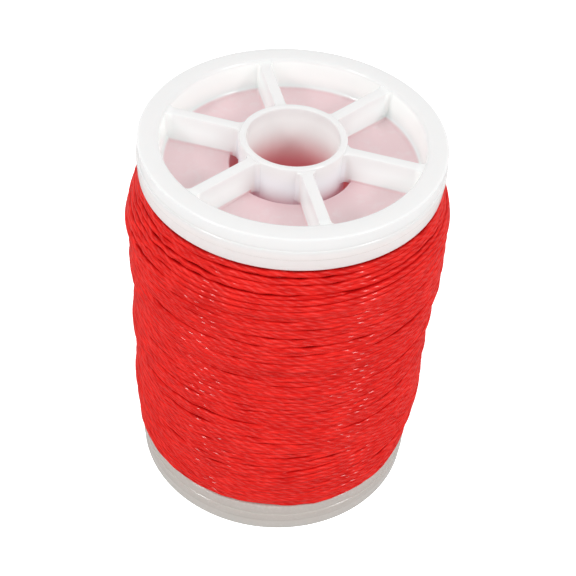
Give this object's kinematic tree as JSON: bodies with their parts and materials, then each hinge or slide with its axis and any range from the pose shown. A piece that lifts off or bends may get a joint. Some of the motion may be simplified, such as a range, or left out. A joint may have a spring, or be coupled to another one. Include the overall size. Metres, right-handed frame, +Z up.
{
  "type": "string reel",
  "caption": "Small upright reel of red multifilament string wound between two white, ribbed, cored-out flanges with a central bore.",
  "frame": {"origin": "centre of the lower flange's resting face, on the reel's axis", "axes": "+Z up along the reel's axis; +X along one rib of each flange"},
  "size_m": [0.0408, 0.0408, 0.0536],
  "materials": {
    "white_plastic": "natural white, slightly translucent moulded plastic, satin gloss",
    "red_string": "red twisted multifilament string with a slight sheen"
  },
  "bodies": {
    "root": {"upper_flange": "white_plastic", "lower_flange": "white_plastic", "barrel_tube": "white_plastic", "string_winding": "red_string"}
  },
  "joints": []
}
